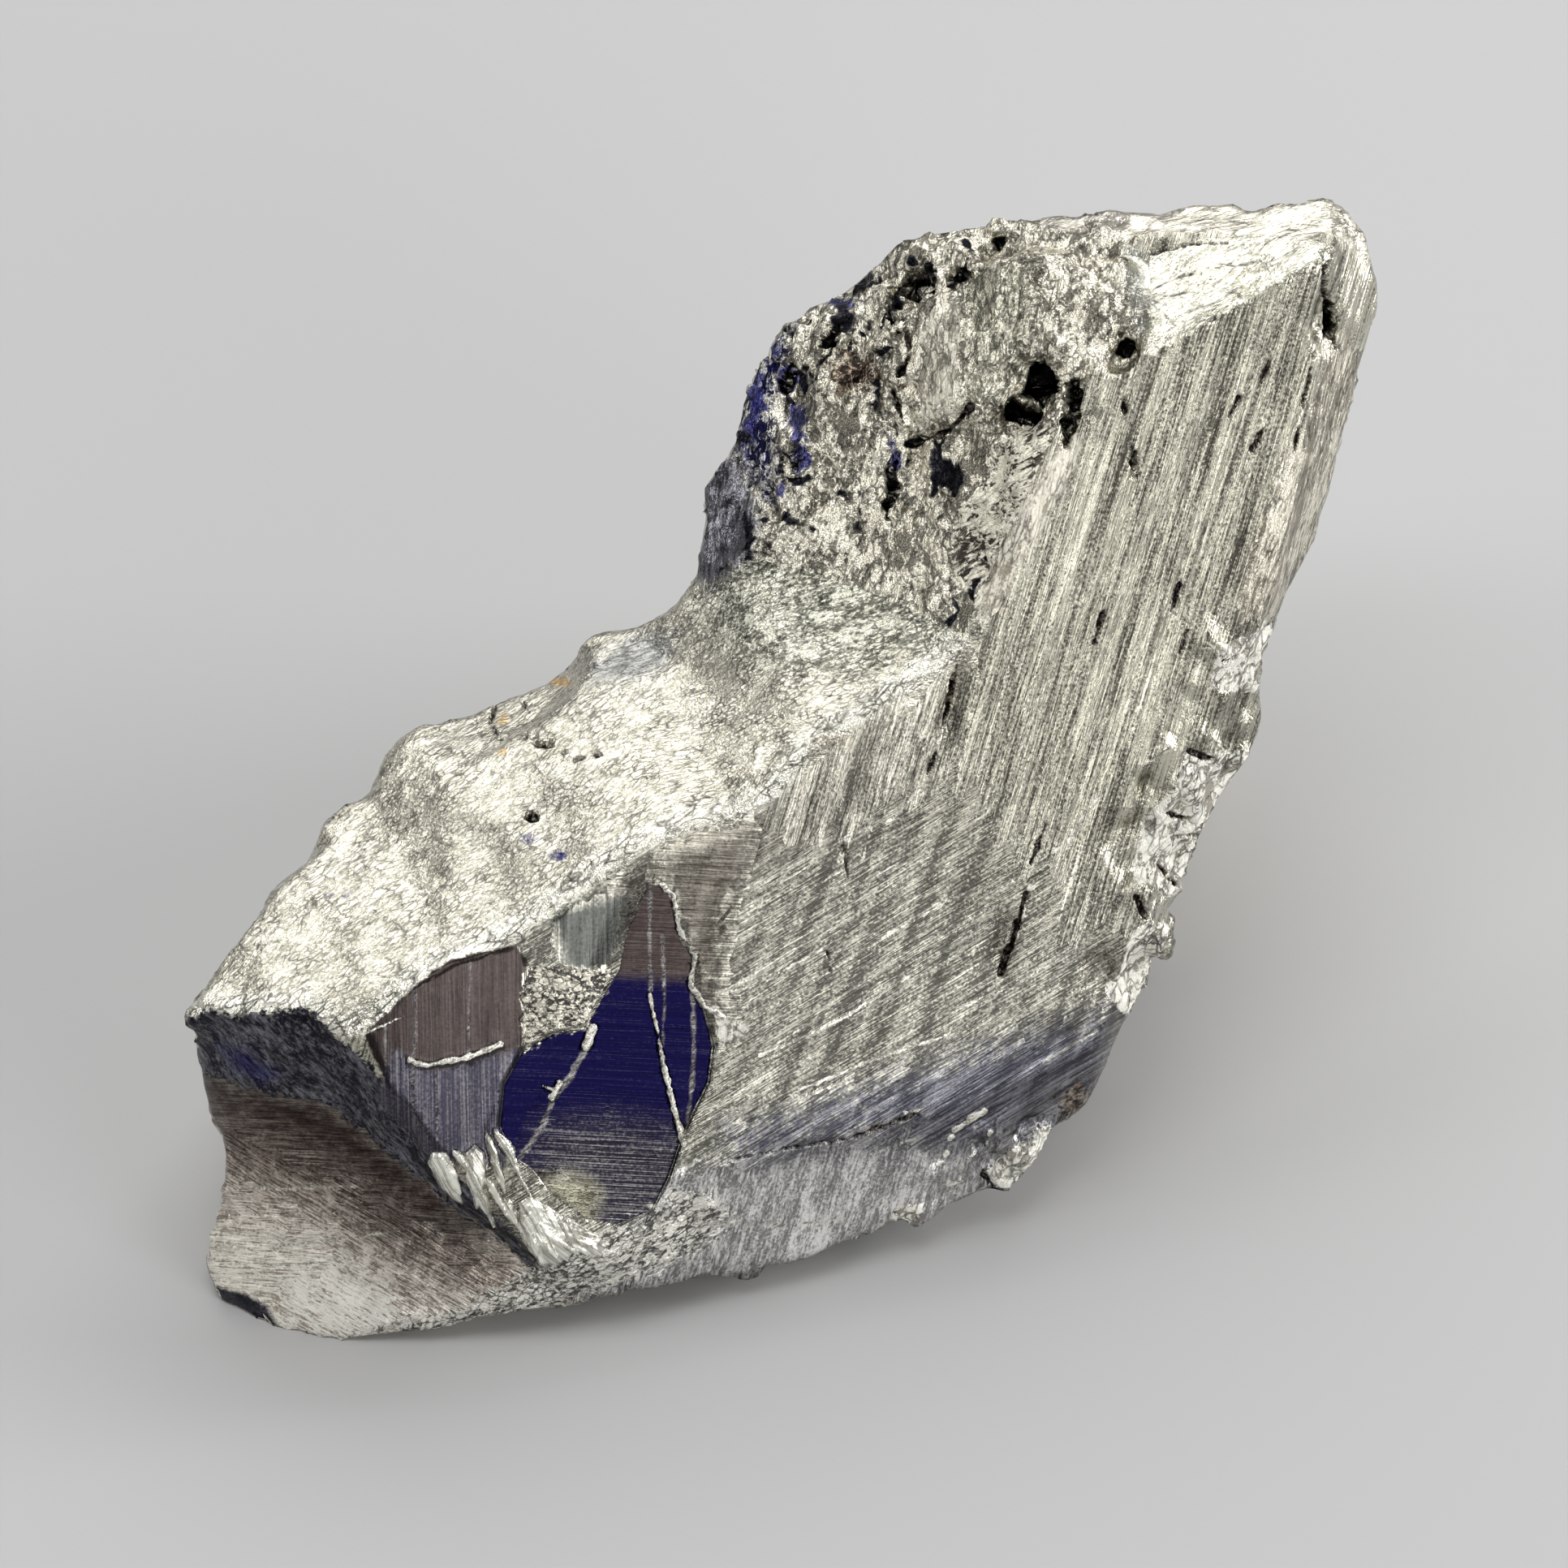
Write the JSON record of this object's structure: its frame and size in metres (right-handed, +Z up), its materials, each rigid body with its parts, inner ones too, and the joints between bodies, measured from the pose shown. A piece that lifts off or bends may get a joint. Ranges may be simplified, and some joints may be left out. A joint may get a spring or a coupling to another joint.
{
  "type": "pyrite specimen",
  "caption": "Broken chunk of silvery metallic mineral: broad ribbed face, rough shelf, raised corner, flat underside to rest on.",
  "frame": {"origin": "middle of the stone's bounding box, on the plane of its resting face", "axes": "+Z up from the resting face, +X to the right along the broad ribbed face, -Y towards the viewer of that face, which leans back from upright"},
  "size_m": [0.0512, 0.0474, 0.0352],
  "materials": {
    "pyrite": "bright metallic break, with dull brown and deep blue tarnish in places"
  },
  "bodies": {
    "root": {"pyrite": "pyrite"}
  },
  "joints": []
}
